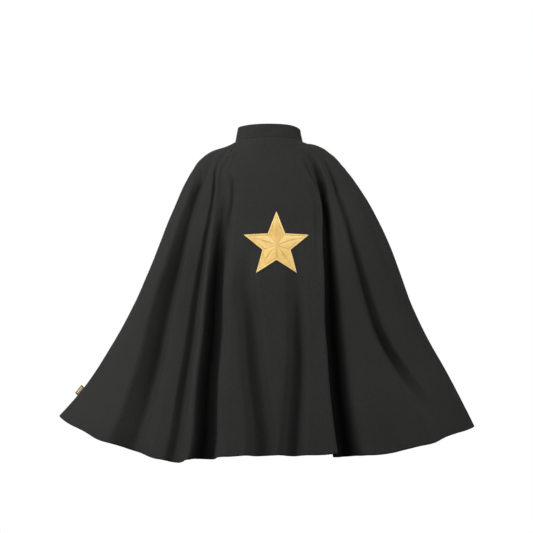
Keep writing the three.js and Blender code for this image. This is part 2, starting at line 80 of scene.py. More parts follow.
# Valleys: where the bottom runs, as [share of the way down, place across], the left wall and the
# right wall (width, slope in degrees), the shares where it starts, is whole and eases, and how
# much of it stays.
VALLEYS = [
    [[[0.1, -0.5], [0.2, -0.55], [0.4, -0.64], [0.6, -0.69], [0.8, -0.67], [1, -0.63]],
     [0.11, 50], [0.08, 38], 0.05, 0.28, 0.7, 0.7],
    [[[0.1, -0.41], [0.25, -0.435], [0.5, -0.505], [0.75, -0.51], [1, -0.47]],
     [0.04, 36], [0.1, 48], 0.05, 0.2, 0.7, 0.8],
    [[[0.1, -0.33], [0.4, -0.328], [0.6, -0.343], [1, -0.303]], [0.11, 84], [0.16, 56], 0.1, 0.5, 0.7, 1],
    [[[0.5, -0.12], [0.72, -0.08], [0.86, -0.05], [1, -0.025]], [0.08, 44], [0.08, 42], 0.3, 0.65, 0.9, 1],
    [[[0.5, 0.11], [0.72, 0.115], [1, 0.09]], [0.07, 46], [0.07, 46], 0.3, 0.65, 0.9, 1],
    [[[0.1, 0.27], [0.2, 0.295], [0.34, 0.32]], [0.06, 70], [0.05, 14], 0.04, 0.13, 0.34, 0],
    [[[0.1, 0.35], [0.2, 0.37], [0.34, 0.358], [0.6, 0.362], [1, 0.366]],
     [0.14, 86], [0.14, 68], 0.04, 0.24, 0.7, 1],
    [[[0.1, 0.45], [0.19, 0.49], [0.375, 0.545], [0.54, 0.605], [0.66, 0.645], [0.78, 0.7], [1, 0.8]],
     [0.055, 50], [0.06, 48], 0.06, 0.2, 0.68, 0.1],
    [[[0.3, 0.7], [1, 1.05]], [0.07, 14], [0.07, 14], 0.2, 0.4, 0.5, 0.2],
]
FADE_SPAN = 0.3  # share of the way down over which a fold eases
NARROWEST, WIDENED = 0.45, 0.6  # a fold's width at the neck against the hem's, and where it is whole
WALL_EASE = 0.3  # share of a wall over which its slope comes in
LARGEST_FOLD = 1.2  # of the slopes in the table
STEEPEST = 1.42  # of a fold's wall, in radians: thick cloth doesn't close on itself
BISECTIONS = 18
LEAST_DROP = 0.05  # of a step down the cloth, as a share of its length
OUTLINE_POINTS = 361
TANGENT_REACH = 2  # the outline's direction is taken over this distance each way, in mm
ACROSS, DOWN = 384, 192  # lines of the fine net


def curve(stations, x):
    """A smooth curve through the stations, each [distance, value]."""
    at, value = np.array(stations, float).T
    slope = np.gradient(value, at)
    x = np.clip(x, at[0], at[-1])
    i = np.clip(np.searchsorted(at, x, side="right") - 1, 0, len(at) - 2)
    h = at[i + 1] - at[i]
    t = (x - at[i]) / h
    return ((2 * t**3 - 3 * t**2 + 1) * value[i] + (t**3 - 2 * t**2 + t) * h * slope[i]
            + (3 * t**2 - 2 * t**3) * value[i + 1] + (t**3 - t**2) * h * slope[i + 1])


def smooth(t):
    t = np.clip(t, 0, 1)
    return t * t * (3 - 2 * t)


def wall(t):
    """A fold's wall: no slope at its ends and its full slope between."""
    return smooth(t / WALL_EASE) * smooth((1 - t) / WALL_EASE)


def bump(x, middle, reach):
    """1 at the middle, falling smoothly to 0 at reach on either side."""
    return smooth(1 - np.abs(x - middle) / reach)


def stretch(x, start, rise, end, fall):
    """1 between start and end, with a smooth rise after start and a smooth fall before end."""
    return smooth((x - start) / rise) * smooth((end - x) / fall)


def totals(steps):
    """Running totals of the steps, from 0."""
    return np.concatenate([[0], np.cumsum(steps)])


def run_of(path):
    """Distance run along a path, at each of its points."""
    return totals(np.linalg.norm(np.diff(path, axis=0), axis=1))


def along_path(distance, run, values):
    """The values given at each run, read at each distance."""
    return np.stack([np.interp(distance, run, column) for column in values.T], -1)


def unit(vectors):
    return vectors / np.linalg.norm(vectors, axis=-1, keepdims=True)


def level_outline(v):
    """Plan outline of one level without its folds, and the distance run along it."""
    wrap = math.radians(float(curve(WRAP, v)))
    back = float(curve(BACK, v))
    depth = (float(curve(FRONT, v)) - back) / (1 - math.cos(wrap))
    widen = 1 / math.sin(wrap) if wrap < math.pi / 2 else 1
    turn = np.linspace(-wrap, wrap, OUTLINE_POINTS)
    reach = np.where(turn < 0, curve(LEFT, v), curve(RIGHT, v)) * widen
    plan = np.stack([reach * np.sin(turn), np.minimum(back + depth * (1 - np.cos(turn)), THROAT_Y)], 1)
    return plan, run_of(plan)


def fold_slope(w, v):
    """Slope of the cloth against the plain outline at position w, in radians."""
    narrow = NARROWEST + (1 - NARROWEST) * smooth((v - 0.03) / WIDENED)
    slope = np.zeros_like(w)
    for route, left, right, start, full, fade, rest in VALLEYS:
        bottom = curve(route, v)
        grown = smooth((v - start) / (full - start)) * (1 - (1 - rest) * smooth((v - fade) / FADE_SPAN))
        inward = left[1] * wall((w - bottom + left[0] * narrow) / (left[0] * narrow))
        outward = right[1] * wall((w - bottom) / (right[0] * narrow))
        slope += grown * (inward - outward)
    return np.radians(slope)


def level_plan(v):
    """Plan positions of one level of the cloth, from the left front edge to the right."""
    cloth = FLAT_NECK + CUT_ANGLE * CLOTH * v
    plan, run = level_outline(v)
    w = np.linspace(-1, 1, ACROSS + 1)
    slopes = fold_slope((w[1:] + w[:-1]) / 2, v)
    low, high = 0.0, LARGEST_FOLD
    for _ in range(BISECTIONS):
        factor = (low + high) / 2
        turned = np.clip(factor * slopes, -STEEPEST, STEEPEST)
        if np.mean(np.cos(turned)) > run[-1] / cloth:
            low = factor
        else:
            high = factor
    forward = totals(np.cos(turned))
    inward = totals(np.sin(turned)) * cloth / ACROSS
    inward = inward - inward[-1] * (w + 1) / 2
    distance = forward / forward[-1] * run[-1]
    before, after = (along_path(distance + d, run, plan) for d in (-TANGENT_REACH, TANGENT_REACH))
    along = unit(after - before)
    return along_path(distance, run, plan) + np.stack([-along[:, 1], along[:, 0]], 1) * inward[:, None]


def drape_net():
    """The cloth in metres, [level, line]: each line drops by what its length leaves."""
    net = np.zeros((DOWN + 1, ACROSS + 1, 3))
    step = curve(LENGTH, np.linspace(-1, 1, ACROSS + 1)) / DOWN
    for j in range(DOWN + 1):
        net[j, :, :2] = level_plan(j / DOWN)
        if j == 0:
            net[0, :, 2] = -NECK_TILT * (net[0, :, 1] - NAPE_Y)
            continue
        spread = np.linalg.norm(net[j, :, :2] - net[j - 1, :, :2], axis=1)
        drop = np.sqrt(np.maximum(step**2 - spread**2, (LEAST_DROP * step)**2))
        net[j, :, 2] = net[j - 1, :, 2] - drop
    return net * MM


def normals_of(net):
    """Outward unit normals of a net of points."""
    return unit(np.cross(np.gradient(net, axis=0), np.gradient(net, axis=1)))


# ---------- small wrinkles
def soft_noise(points, scale, seed):
    """Smooth seeded noise at each point, the points scaled first."""
    flat = (points * scale).reshape(-1, points.shape[-1])
    return np.array([noise.noise(Vector((*p[:2], seed))) for p in flat]).reshape(points.shape[:-1])


# Creases and crests over the shoulders: the route, as [share of the way down, place across], half
# the width across, and how far the cloth stands out, in millimetres.
CREASES = [
    [[[0.02, -0.29], [0.052, -0.305], [0.075, -0.35], [0.105, -0.38], [0.15, -0.385], [0.24, -0.39]],
     0.035, 2.6],
    [[[0.02, -0.44], [0.068, -0.5], [0.109, -0.521], [0.2, -0.545]], 0.035, 2.2],
    [[[0.12, -0.283], [0.172, -0.273], [0.219, -0.276], [0.266, -0.286], [0.36, -0.294]], 0.03, -4.5],
    [[[0.09, -0.352], [0.2, -0.37], [0.34, -0.395]], 0.025, -2.2],
    [[[0.09, -0.465], [0.177, -0.516], [0.229, -0.578], [0.34, -0.64]], 0.03, -3.0],
    [[[0.03, 0.275], [0.078, 0.32], [0.115, 0.362], [0.161, 0.385], [0.26, 0.4]], 0.03, -4.0],
    [[[0.02, 0.292], [0.052, 0.339], [0.089, 0.378], [0.141, 0.415], [0.2, 0.435], [0.34, 0.445]],
     0.03, 3.2],
    [[[0.08, 0.43], [0.161, 0.49], [0.26, 0.536], [0.4, 0.575]], 0.03, -3.0],
]

# How far each other kind of wrinkle stands out, in millimetres.
RISES = {"left padding": 6.8, "right padding": 3.2, "gathers": 1.2, "easing": 0.35, "left ledge": -4.0,
         "right ledge": -5.0, "soft": 1.6, "fine": 0.22, "hem": 0.3}
CREASE_START, CREASE_END = 0.04, 0.08  # shares of the way down over which a crease comes and goes
TAB_SHARE, TAB_CALM = 0.906, 0.12  # how far down the woven tab is, and how far it calms its edge


def wrinkles(w, v, cloth):
    """How far the cloth stands out of the plain drape, in metres. cloth: flat place in metres."""
    padding = bump(np.abs(w), 0.58, 0.32) * stretch(v, 0, 0.075, 0.3, 0.2)
    shoulders = bump(np.abs(w), 0.52, 0.34) * (1 - smooth(v / 0.26))
    shapes = {
        "left padding": padding * (w < 0),
        "right padding": padding * (w >= 0),
        "gathers": shoulders * np.sin(w * 78 + 2.2 * np.sin(w * 19)) * smooth(v / 0.035),
        "easing": np.sin(w * 150 + 3 * np.sin(w * 31)) * stretch(v, 0, 0.01, 0.055, 0.055),
        "left ledge": stretch(w, -0.4, 0.05, -0.25, 0.03) * stretch(v, 0.14, 0.05, 0.5, 0.2),
        "right ledge": stretch(w, 0.2, 0.035, 0.34, 0.06) * stretch(v, 0.15, 0.05, 0.52, 0.2),
        "soft": soft_noise(cloth * [1, 0.45], 9, 3.7) * smooth((v - 0.05) / 0.2),
        "fine": soft_noise(cloth * [1, 0.3], 34, 8.1),
        "hem": np.sin(w * 330 + 4 * np.sin(w * 47)) * smooth((v - 0.972) / 0.02),
    }
    rise = sum(RISES[kind] * shape for kind, shape in shapes.items())
    for route, half_width, height in CREASES:
        ends = stretch(v, route[0][0], CREASE_START, route[-1][0], CREASE_END)
        rise += height * bump(w, curve(route, v), half_width) * ends
    at_tab = bump(v, TAB_SHARE, TAB_CALM) * smooth((-0.9 - w) / 0.08)
    return rise * (1 - at_tab) * MM


def averaged(normals, passes=120):
    """Normals averaged across the folds, so that a wrinkle moves a whole fold the same way."""
    for _ in range(passes):
        middle = (normals[:, :-2] + 2 * normals[:, 1:-1] + normals[:, 2:]) / 4
        normals = np.concatenate([normals[:, :1], middle, normals[:, -1:]], 1)
    return unit(normals)


# ---------- meshes
def add_object(name, vertices, faces, material, uv=None):
    mesh = bpy.data.meshes.new(name)
    mesh.from_pydata(np.asarray(vertices).tolist(), [], np.asarray(faces).tolist())
    mesh.materials.append(material)
    mesh.shade_smooth()
    if uv is not None:
        layer = mesh.uv_layers.new(name="cloth")
        corners = np.zeros(len(mesh.loops), int)
        mesh.loops.foreach_get("vertex_index", corners)
        layer.data.foreach_set("uv", np.asarray(uv)[corners].ravel())
    piece = bpy.data.objects.new(name, mesh)
    SCENE.collection.objects.link(piece)
    return piece


def net_faces(rows, columns):
    """The quads between the points of a net."""
    ids = np.arange(rows * columns).reshape(rows, columns)
    return np.stack([ids[:-1, :-1], ids[1:, :-1], ids[1:, 1:], ids[:-1, 1:]], -1).reshape(-1, 4)


def skin(outer, inner, uv):
    """A closed skin between two nets, with a rounded rim: vertices, faces and a uv each."""
    rows, columns = outer.shape[:2]
    count = rows * columns
    ids = np.arange(count).reshape(rows, columns)
    quads = net_faces(rows, columns)
    rim = np.concatenate([ids[0, :-1], ids[:-1, -1], ids[-1, :0:-1], ids[:0:-1, 0]])
    centre = (outer + inner) / 2
    nearer = np.concatenate([centre[1, :-1], centre[:-1, -2], centre[-2, :0:-1], centre[:0:-1, 1]])
    edge = centre.reshape(-1, 3)[rim]
    depth = np.linalg.norm((outer - inner).reshape(-1, 3)[rim], axis=1)
    middle = edge + unit(edge - nearer) * depth[:, None] / 2
    ring = 2 * count + np.arange(len(rim))
    around = np.roll(np.arange(len(rim)), -1)
    faces = [quads, (quads + count)[:, ::-1],
             np.stack([rim, rim[around], ring[around], ring], 1),
             np.stack([ring, ring[around], rim[around] + count, rim + count], 1)]
    vertices = np.concatenate([outer.reshape(-1, 3), inner.reshape(-1, 3), middle])
    flat = uv.reshape(-1, 2)
    return vertices, np.concatenate(faces), np.concatenate([flat, flat, flat[rim]])


def join(parts):
    """Several (vertices, faces, uv) as one."""
    start = np.cumsum([0] + [len(part[0]) for part in parts[:-1]])
    return (np.concatenate([part[0] for part in parts]),
            np.concatenate([part[1] + s for part, s in zip(parts, start)]),
            np.concatenate([part[2] for part in parts]))


def sheet(net, thickness, uv=None):
    """A closed sheet of cloth about a net of points."""
    half = normals_of(net) * thickness / 2
    if uv is None:
        uv = flat_places(net)
    return skin(net + half, net - half, uv)


def flat_places(net):
    """Each point's place on the flat cloth: how far it runs across and down, in metres."""
    across = np.linalg.norm(np.diff(net, axis=1), axis=2).mean(0)
    down = np.linalg.norm(np.diff(net, axis=0), axis=2).mean(1)
    return np.stack(np.meshgrid(totals(across), -totals(down)), 2)


SIDES = 6  # of each thread: its caps below are two quads of a hexagon


def threads(points, up, radius):
    """Closed threads. points and up: [thread, ring, 3], radius: of each ring, in metres."""
    count, rings = points.shape[:2]
    side = unit(np.cross(up, np.gradient(points, axis=1)))
    turn = np.arange(SIDES) * 2 * math.pi / SIDES
    round_it = side[:, :, None] * np.cos(turn)[:, None] + up[:, :, None] * np.sin(turn)[:, None]
    vertices = points[:, :, None] + round_it * np.asarray(radius)[:, None, None]
    ids = np.arange(rings * SIDES).reshape(rings, SIDES)
    beside = np.roll(ids, -1, axis=1)
    walls = np.stack([ids[:-1], beside[:-1], beside[1:], ids[1:]], -1).reshape(-1, 4)
    start, end = ids[0], ids[-1]
    caps = [[start[3], start[2], start[1], start[0]], [start[5], start[4], start[3], start[0]],
            [end[0], end[1], end[2], end[3]], [end[0], end[3], end[4], end[5]]]
    one = np.concatenate([walls, caps])
    faces = one[None] + (np.arange(count) * rings * SIDES)[:, None, None]
    vertices = vertices.reshape(-1, 3)
    return vertices, faces.reshape(-1, 4), np.zeros((len(vertices), 2))


STITCH = {"pitch": 2.6 * MM, "length": 1.9 * MM, "radius": 0.2 * MM, "lift": 0.16 * MM,
          "rings": 5, "dip": 1.4, "taper": 0.45}


def stitches(path, out):
    """A row of stitches along a path over cloth whose outward normals are out."""
    run = run_of(path)
    count = max(1, round(run[-1] / STITCH["pitch"]))
    middle = (np.arange(count) + 0.5) / count * run[-1]
    reach = np.linspace(-1, 1, STITCH["rings"])
    place = middle[:, None] + reach * STITCH["length"] / 2
    points = along_path(place, run, path)
    up = along_path(place, run, np.broadcast_to(out, path.shape))
    lifted = points + up * (STITCH["lift"] * (1 - STITCH["dip"] * reach**2))[:, None]
    return threads(lifted, up, STITCH["radius"] * (1 - STITCH["taper"] * reach**2))


# ---------- materials
BROAD_SCALE, SLUB_SCALE, FUZZ_SCALE = 7.0, 330.0, 900.0  # noise: patches, thick yarn and fibres
WEAVE_SHARE, BROAD_SHARE, SLUB_SHARE, FUZZ_SHARE = 0.2, 0.2, 0.4, 0.2  # of each layer in the colour
DARK_STOP, LIGHT_STOP = 0.38, 0.62
ROUGHNESS_SPREAD = 0.06


class Look:
    """A material under construction: its nodes, links and main shader."""

    def __init__(self, name, base, roughness, sheen=0.0):
        self.material = bpy.data.materials.new(name)
        self.material.use_nodes = True
        self.tree = self.material.node_tree
        self.shader = self.tree.nodes["Principled BSDF"]
        self.shader.inputs["Base Color"].default_value = (*base, 1)
        self.shader.inputs["Roughness"].default_value = roughness
        self.shader.inputs["Sheen Weight"].default_value = sheen
        self.shader.inputs["Sheen Roughness"].default_value = 0.5

    def node(self, kind, **settings):
        made = self.tree.nodes.new(f"ShaderNode{kind}")
        for key, value in settings.items():
            setattr(made, key, value)
        return made

    def link(self, source, target):
        self.tree.links.new(source, target)

    def feed(self, target, value):
        if isinstance(value, (int, float)):
            target.default_value = value
        else:
            self.link(value, target)

    def math(self, operation, a, b=0.0):
        made = self.node("Math", operation=operation)
        self.feed(made.inputs[0], a)
        self.feed(made.inputs[1], b)
        return made.outputs[0]

    def flat_place(self):
        """The place on the flat cloth, in metres: its x and y."""
        split = self.node("SeparateXYZ")
        self.link(self.node("UVMap", uv_map="cloth").outputs["UV"], split.inputs[0])
        return split.outputs["X"], split.outputs["Y"]

    def noise(self, vector, scale, detail=3.0):
        made = self.node("TexNoise")
        made.inputs["Scale"].default_value = scale
        made.inputs["Detail"].default_value = detail
        self.link(vector, made.inputs["Vector"])
        return made.outputs["Fac"]

    def here(self):
        return self.node("TexCoord").outputs["Object"]

    def ramp(self, value, stops):
        made = self.node("ValToRGB")
        elements = made.color_ramp.elements
        while len(elements) < len(stops):
            elements.new(0.5)
        for element, (place, colour) in zip(elements, stops):
            element.position = place
            element.color = (*colour, 1)
        self.link(value, made.inputs["Fac"])
        return made.outputs["Color"]

    def set(self, socket, value):
        self.link(value, self.shader.inputs[socket])

    def relief(self, height, depth):
        made = self.node("Bump")
        made.inputs["Distance"].default_value = depth
        self.link(height, made.inputs["Height"])
        self.set("Normal", made.outputs["Normal"])

    def weave(self, pitch, twill=False):
        """Height of a plain weave or a twill over the flat cloth, about 0 to 1."""
        x, y = self.flat_place()
        turn = 2 * math.pi / pitch
        if twill:
            diagonal = self.math("SINE", self.math("MULTIPLY", self.math("ADD", x, y), turn))
            thread = self.math("SINE", self.math("MULTIPLY", y, turn * 2))
            mixed = self.math("ADD", self.math("MULTIPLY", diagonal, 0.34),
                              self.math("MULTIPLY", thread, 0.16))
        else:
            warp = self.math("SINE", self.math("MULTIPLY", x, turn))
            weft = self.math("SINE", self.math("MULTIPLY", y, turn))
            mixed = self.math("MULTIPLY", self.math("MULTIPLY", warp, weft), 0.5)
        return self.math("ADD", mixed, 0.5)

    def woven(self, dark, light, pitch, depth, twill=False):
        """Woven cloth: its weave shows in colour and relief, over broad uneven patches."""
        weave = self.weave(pitch, twill)
        broad = self.noise(self.here(), BROAD_SCALE, 4.0)
        slubs = self.noise(self.here(), SLUB_SCALE, 2.0)
        fuzz = self.noise(self.here(), FUZZ_SCALE, 2.0)
        shares = [(weave, WEAVE_SHARE), (broad, BROAD_SHARE), (slubs, SLUB_SHARE), (fuzz, FUZZ_SHARE)]
        tone = 0.0
        for layer, share in shares:
            tone = self.math("ADD", self.math("MULTIPLY", layer, share), tone)
        self.set("Base Color", self.ramp(tone, [(DARK_STOP, dark), (LIGHT_STOP, light)]))
        rough = self.node("MapRange")
        middle = self.shader.inputs["Roughness"].default_value
        rough.inputs["To Min"].default_value = middle - ROUGHNESS_SPREAD
        rough.inputs["To Max"].default_value = middle + ROUGHNESS_SPREAD
        self.link(fuzz, rough.inputs["Value"])
        self.set("Roughness", rough.outputs["Result"])
        self.relief(self.math("ADD", weave, self.math("MULTIPLY", fuzz, 0.6)), depth)
        return self.material


def shell_look():
    look = Look("black cloth", (0.015, 0.0145, 0.0135), 0.78, 0.06)
    look.shader.inputs["Specular IOR Level"].default_value = 0.25
    return look.woven((0.0085, 0.0082, 0.0077), (0.0188, 0.0182, 0.0172), 0.8 * MM, 0.07 * MM)


def lining_look():
    look = Look("black lining", (0.012, 0.012, 0.0125), 0.42, 0.05)
    return look.woven((0.009, 0.009, 0.0095), (0.016, 0.016, 0.017), 0.5 * MM, 0.02 * MM)


def felt_look():
    """Pressed fibres in every direction, with a few darker specks."""
    look = Look("stiffener", (0.66, 0.65, 0.61), 0.9)
    fibres = look.noise(look.here(), 1600.0, 6.0)
    clumps = look.noise(look.here(), 180.0)
    tone = look.math("ADD", look.math("MULTIPLY", fibres, 0.6), look.math("MULTIPLY", clumps, 0.4))
    look.set("Base Color", look.ramp(tone, [(0.3, (0.52, 0.51, 0.47)), (0.7, (0.72, 0.71, 0.67))]))
    look.relief(tone, 0.12 * MM)
    return look.material


def nylon_look(name, dark, light, roughness, scale):
    look = Look(name, light, roughness)
    streaks = look.noise(look.here(), scale, 4.0)
    look.set("Base Color", look.ramp(streaks, [(0.35, dark), (0.7, light)]))
    look.set("Roughness", look.math("ADD", look.math("MULTIPLY", streaks, 0.2), roughness - 0.1))
    look.relief(streaks, 0.03 * MM)
    return look.material


def gold_look():
    """Rayon embroidery thread: bright, with fine twisted strands and uneven shine."""
    look = Look("gold thread", (0.86, 0.6, 0.2), 0.36)
    look.shader.inputs["Specular IOR Level"].default_value = 0.7
    strands = look.noise(look.here(), 2400.0)
    broad = look.noise(look.here(), 60.0)
    tone = look.math("ADD", look.math("MULTIPLY", strands, 0.5), look.math("MULTIPLY", broad, 0.5))
    look.set("Base Color", look.ramp(tone, [(0.3, (0.74, 0.47, 0.12)), (0.7, (0.95, 0.72, 0.28))]))
    look.set("Roughness", look.math("ADD", look.math("MULTIPLY", broad, 0.16), 0.28))
    look.relief(strands, 0.05 * MM)
    return look.material


# ---------- camera, lights and stage
CAMERA_AT = (-0.0054, -2.834, -0.271)
LENS, SENSOR = 89.0, 36
MIDDLE = Vector((0, 0, -0.35))
# Softboxes, all turned to the middle: the name, the place, the side in metres and the power in watts.
LIGHTS = [
    ("left softbox", (-2.6, -1.5, 1.1), 1.4, 67),
    ("left side softbox", (-3.0, -0.5, 0.9), 1.2, 14),
    ("left high softbox", (-1.7, -1.2, 2.3), 1.2, 26),
    ("left front softbox", (-1.6, -2.6, 0.8), 1.0, 17),
    ("right softbox", (2.6, -1.5, 1.1), 1.4, 64),
    ("right high softbox", (1.7, -1.2, 2.3), 1.2, 9),
    ("right front softbox", (1.6, -2.6, 0.8), 1.0, 14),
    ("camera softbox", (0, -3.2, 0.3), 1.0, 5),
    ("rim softbox", (-2.4, 1.2, 0.8), 1.2, 8),
    ("far softbox", (0, 3.0, 0.2), 2.0, 80),
]
WORLD_STRENGTH = 0.006
DOME_RADIUS, FLOOR_RADIUS, FLOOR_Z = 9, 8.8, -1.05


def add_camera():
    camera = bpy.data.objects.new("camera", bpy.data.cameras.new("camera"))
    camera.data.sensor_width = SENSOR
    camera.data.lens = LENS
    camera.location = CAMERA_AT
    camera.rotation_euler = (math.pi / 2, 0, 0)
    SCENE.collection.objects.link(camera)
    SCENE.camera = camera


def add_light(name, at, size, power):
    lamp = bpy.data.lights.new(name, "AREA")
    lamp.size = size
    lamp.energy = power
    light = bpy.data.objects.new(name, lamp)
    light.location = at
    light.rotation_euler = (MIDDLE - Vector(at)).to_track_quat("-Z", "Y").to_euler()
    SCENE.collection.objects.link(light)


def glow(name):
    material = bpy.data.materials.new(name)
    material.use_nodes = True
    tree = material.node_tree
    tree.nodes.clear()
    light = tree.nodes.new("ShaderNodeEmission")
    tree.links.new(light.outputs[0], tree.nodes.new("ShaderNodeOutputMaterial").inputs[0])
    return material


def add_stage():
    world = bpy.data.worlds.new("studio")
    SCENE.world = world
    world.use_nodes = True
    background = world.node_tree.nodes["Background"]
    background.inputs["Color"].default_value = (1, 1, 1, 1)
    background.inputs["Strength"].default_value = WORLD_STRENGTH
    SCENE.view_settings.view_transform = "Standard"
    bpy.ops.mesh.primitive_uv_sphere_add(segments=48, ring_count=24, radius=DOME_RADIUS)
    dome = bpy.context.object
    dome.name = "studio_dome"
    dome.data.materials.append(glow("studio white"))
    dome.visible_diffuse = False
    dome.visible_glossy = False
    dome.visible_shadow = False
    bpy.ops.mesh.primitive_circle_add(vertices=96, radius=FLOOR_RADIUS, fill_type="NGON",
                                      location=(0, 0, FLOOR_Z))
    floor = bpy.context.object
    floor.name = "studio_floor"
    floor.data.materials.append(glow("pale floor"))
    floor.visible_diffuse = False
    floor.visible_glossy = False


# ---------- the cape's cloth
W, V = np.meshgrid(np.linspace(-1, 1, ACROSS + 1), np.linspace(0, 1, DOWN + 1))
HALF_WIDTH = (FLAT_NECK + CUT_ANGLE * CLOTH * V) / 2 * MM
FLAT = np.stack([W * HALF_WIDTH, -V * curve(LENGTH, W) * MM], 2)
SHELL, LINING = 0.8 * MM, 0.5 * MM
DOUBLED = 0.9  # what the turned layer adds, as a share of the shell's thickness
TURNED = 18 * MM  # width of the turned hem and front edges
SEAM_TUCK = (1.3 * MM, 2.4 * MM)  # how far the neck edge goes in and up inside the collar
ROOM_SHARE, ROOM_STEPS = 0.55, 5  # of the tightest bend's radius, looked for so many steps around
LINING_IN, LINING_LOOSE, LINING_RIPPLE, LINING_LEAST = 1.9, 0.8, 0.3, 1.2  # its depth in the shell

plain = drape_net()
NET = plain + averaged(normals_of(plain)) * wrinkles(W, V, FLAT)[:, :, None]
NORMALS = normals_of(NET)
NET[0] += [0, 0, SEAM_TUCK[1]] - NORMALS[0] * SEAM_TUCK[0]
TO_EDGE = np.minimum((1 - np.abs(W)) * HALF_WIDTH, (1 - V) * CLOTH * MM)


def add_shell(material):
    """The outer cloth, doubled where its edges are turned under."""
    doubled = 1 - smooth((TO_EDGE - TURNED) / (3 * MM))
    thickness = SHELL * (1 + DOUBLED * doubled)
    vertices, faces, uv = skin(NET, NET - NORMALS * thickness[:, :, None], FLAT)
    shell = add_object("cape_shell", vertices, faces, material, uv)
    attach(shell, "cape")
    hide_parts("outer_shell")


def room_inside():
    """How deep the cloth's inside face can be offset before a tight fold closes on itself."""
    step = np.gradient(NET, axis=1)
    bend = -(np.gradient(step, axis=1) * NORMALS).sum(2) / (step**2).sum(2)
    tightest = bend
    for shift in range(-ROOM_STEPS, ROOM_STEPS + 1):
        for axis in (0, 1):
            tightest = np.maximum(tightest, np.roll(bend, shift, axis))
    return ROOM_SHARE / np.maximum(tightest, 1)


def add_lining(material):
    """The lining, sewn to the turned edges and loose between them."""
    sewn_at = TURNED - 4 * MM
    columns = int(np.argmax(TO_EDGE[DOWN // 2] > sewn_at))
    rows = int(np.argmax(TO_EDGE[::-1, ACROSS // 2] > sewn_at))
    inner = (slice(1, -rows, 2), slice(columns, -columns, 2))
    loose = smooth((TO_EDGE[inner] - TURNED) / (45 * MM))
    ripple = soft_noise(FLAT[inner] * [1, 0.35], 22, 5.5)
    wanted = (LINING_IN + (LINING_LOOSE + LINING_RIPPLE * ripple) * loose) * MM
    depth = np.maximum(np.minimum(wanted, room_inside()[inner]), LINING_LEAST * MM)
    net = NET[inner] - NORMALS[inner] * depth[:, :, None]
    vertices, faces, uv = skin(net, net - normals_of(net) * LINING, FLAT[inner])
    lining = add_object("cape_lining", vertices, faces, material, uv)
    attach(lining, "cape")
    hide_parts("lining")


# ---------- neck and collar
COLLAR_HEIGHT, COLLAR_LEAN, COLLAR_CORNER, COLLAR_FOOT = 33, 0.09, 9, 0.4
CORNER_TURN = 150  # past this turn from the nape the top edge may round down
COLLAR_TURNS = np.concatenate([np.linspace(-NECK_WRAP, -154, 26), np.linspace(-151, 151, 150),
                               np.linspace(154, NECK_WRAP, 26)])
CLOTH_LAYER, STIFFENER_LAYER, TAPE_LAYER = 0.8, 0.6, 0.5  # thicknesses
# Each collar layer's depth inside the collar's outer face, and how far its edges turn in.
FACE_LAYER, INSIDE_LAYER, STIFFENER_AT = (0.4, 0.6), (2.4, -0.6), (1.4, 0)
STIFFENER_INSET = 2.0  # from the collar's top edge
EDGE_ROLL, COLLAR_WAVE = 0.04, 0.35  # share of the height that rolls in, and the cloth's unevenness
TAPE_TURN, TAPE_TOP, TAPE_FOOT, TAPE_DEPTH = 140, 8, 0.6, 3.3
TAPE_ROWS, TAPE_STITCH_DEPTH = (6.9, 1.7), 3.56
# The collar's top edge waves a little: the turn, how far each dip reaches, and its depth.
COLLAR_SAGS = [(96, 62, 4.0), (0, 200, 3.2), (-98, 50, -1.6)]


def neck_plan(turns):
    """The neck ring's plan at turns from the nape, and its outward normals."""
    angle = np.radians(turns)
    y = np.minimum(NECK_MIDDLE - NECK_DEPTH * np.cos(angle), THROAT_Y)
    plan = np.stack([NECK_REACH * np.sin(angle), y], 1)
    along = np.gradient(plan, axis=0)
    out = unit(np.stack([along[:, 1], -along[:, 0]], 1))
    out[1:-1] = (out[:-2] + 2 * out[1:-1] + out[2:]) / 4
    return plan, unit(out)


def collar_points(turns, height, depth):
    """Points of the collar in metres. height and depth below its outer face: [row, turn]."""
    plan, out = neck_plan(turns)
    middle = np.array([0, NECK_MIDDLE])
    shrink = 1 - COLLAR_LEAN * height / COLLAR_HEIGHT
    level = middle + (plan - middle) * shrink[:, :, None] - out * depth[:, :, None]
    z = height - NECK_TILT * (level[:, :, 1] - NAPE_Y)
    return np.concatenate([level, z[:, :, None]], 2) * MM


def collar_top(turns):
    """Height of the collar's top edge, with its front corners rounded."""
    plan, _ = neck_plan(turns)
    inward = np.clip(COLLAR_CORNER - (np.abs(plan[:, 0]) - np.abs(plan[0, 0])), 0, COLLAR_CORNER)
    front = np.abs(turns) > CORNER_TURN
    top = COLLAR_HEIGHT - np.where(front, COLLAR_CORNER - np.sqrt(COLLAR_CORNER**2 - inward**2), 0)
    return top - sum(dip * bump(turns, at, reach) for at, reach, dip in COLLAR_SAGS)


def collar_net(turns, depth, roll, drop=0.0, foot=COLLAR_FOOT):
    """One layer of the collar: its middle surface. roll: how far its edges turn in."""
    share = np.concatenate([[0, 0.006, 0.018, 0.04], np.linspace(0.08, 0.92, 16), [0.96, 0.982, 1]])
    rolled = 1 - smooth(np.minimum(share, 1 - share) / EDGE_ROLL)
    top = collar_top(turns) - drop
    height = top + (foot - top) * share[:, None]
    wave = np.sin(np.radians(turns) * 5 + share[:, None] * 2) * np.sin(math.pi * share[:, None])
    return collar_points(turns, height, depth + roll * rolled[:, None] + COLLAR_WAVE * wave)


def add_cloth(name, net, thickness, material, body="cape"):
    vertices, faces, uv = sheet(net, thickness * MM)
    piece = add_object(name, vertices, faces, material, uv)
    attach(piece, body)
    return piece


def add_threads(name, parts, material, body="cape"):
    vertices, faces, _ = join(parts)
    piece = add_object(name, vertices, faces, material)
    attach(piece, body)
    return piece


